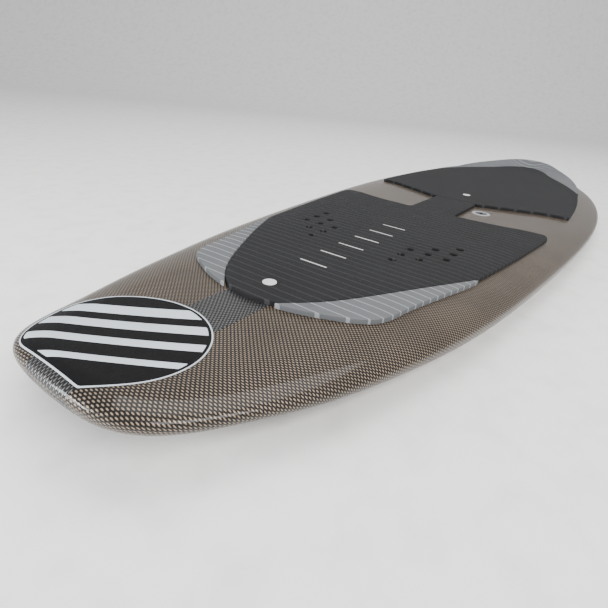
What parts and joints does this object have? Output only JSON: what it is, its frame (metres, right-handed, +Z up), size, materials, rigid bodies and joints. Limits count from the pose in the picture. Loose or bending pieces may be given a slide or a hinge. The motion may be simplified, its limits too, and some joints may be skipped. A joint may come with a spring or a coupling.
{
  "type": "kiteboard",
  "caption": "Blunt-nosed foil kiteboard in woven carbon with a two-tone foam deck pad, strap inserts, a vent and foil tracks below.",
  "frame": {"origin": "on the hull's flat under the middle of the board", "axes": "+X to the nose, +Y to port, +Z up"},
  "size_m": [1.4498, 0.4532, 0.072],
  "materials": {
    "foam": "matte",
    "pvc_foam": "matte",
    "carbon_deck": "gloss",
    "carbon_hull": "gloss",
    "carbon_tape": "gloss",
    "track_plastic": "satin",
    "track_metal": "satin",
    "nut_metal": "satin",
    "insert_brass": "satin",
    "vent_plastic": "satin",
    "vent_metal": "satin",
    "vent_rubber": "matte",
    "vent_film": "matte",
    "pad_dark": "matte",
    "pad_light": "matte",
    "pad_mark": "matte",
    "film_black": "satin",
    "film_silver": "satin",
    "badge": "satin"
  },
  "bodies": {
    "board": {"foam_core": "foam", "deck_sandwich": "pvc_foam", "foil_block": "pvc_foam", "strap_block_port": "pvc_foam", "strap_block_starboard": "pvc_foam", "deck_skin": "carbon_deck", "hull_skin": "carbon_hull", "deck_stringer_tape": "carbon_tape", "hull_stringer_tape": "carbon_tape", "track_box_port": "track_plastic", "track_box_starboard": "track_plastic", "track_rail_port": "track_metal", "track_rail_starboard": "track_metal", "strap_inserts_port": "insert_brass", "strap_inserts_starboard": "insert_brass", "vent_cup": "vent_plastic", "vent_membrane": "vent_film", "front_pad": "pad_dark", "rear_pad": "pad_dark", "pad_wing_port": "pad_light", "pad_wing_starboard": "pad_light", "rear_kick": "pad_light", "pad_marks": "pad_mark", "nose_decal": "film_black", "nose_decal_trim": "film_silver", "front_badge": "badge", "rear_badge": "badge"},
    "t_nut_front_port": {"t_nut_front_port": "nut_metal"},
    "t_nut_front_starboard": {"t_nut_front_starboard": "nut_metal"},
    "t_nut_rear_port": {"t_nut_rear_port": "nut_metal"},
    "t_nut_rear_starboard": {"t_nut_rear_starboard": "nut_metal"},
    "vent_seal": {"vent_seal": "vent_rubber"},
    "vent_screw": {"vent_screw": "vent_metal"}
  },
  "joints": [
    {"name": "t_nut_front_port_slide", "type": "slide", "parent": "board", "child": "t_nut_front_port", "axis": [1, 0, 0], "range_m": [-0.055, 0.029]},
    {"name": "t_nut_front_starboard_slide", "type": "slide", "parent": "board", "child": "t_nut_front_starboard", "axis": [1, 0, 0], "range_m": [-0.055, 0.029]},
    {"name": "t_nut_rear_port_slide", "type": "slide", "parent": "board", "child": "t_nut_rear_port", "axis": [1, 0, 0], "range_m": [-0.029, 0.055]},
    {"name": "t_nut_rear_starboard_slide", "type": "slide", "parent": "board", "child": "t_nut_rear_starboard", "axis": [1, 0, 0], "range_m": [-0.029, 0.055]},
    {"name": "vent_screw_lift", "type": "slide", "parent": "board", "child": "vent_seal", "axis": [0, 0, 1], "range_m": [0, 0.00375]},
    {"name": "vent_screw_turn", "type": "hinge", "parent": "vent_seal", "child": "vent_screw", "pos_m": [0.018, 0.06, 0.048], "axis": [0, 0, 1], "range_deg": [0, 1080]}
  ],
  "couplings": [
    {"joint": "vent_screw_turn", "follows": "vent_screw_lift", "rad_per_m": 5026.5}
  ]
}
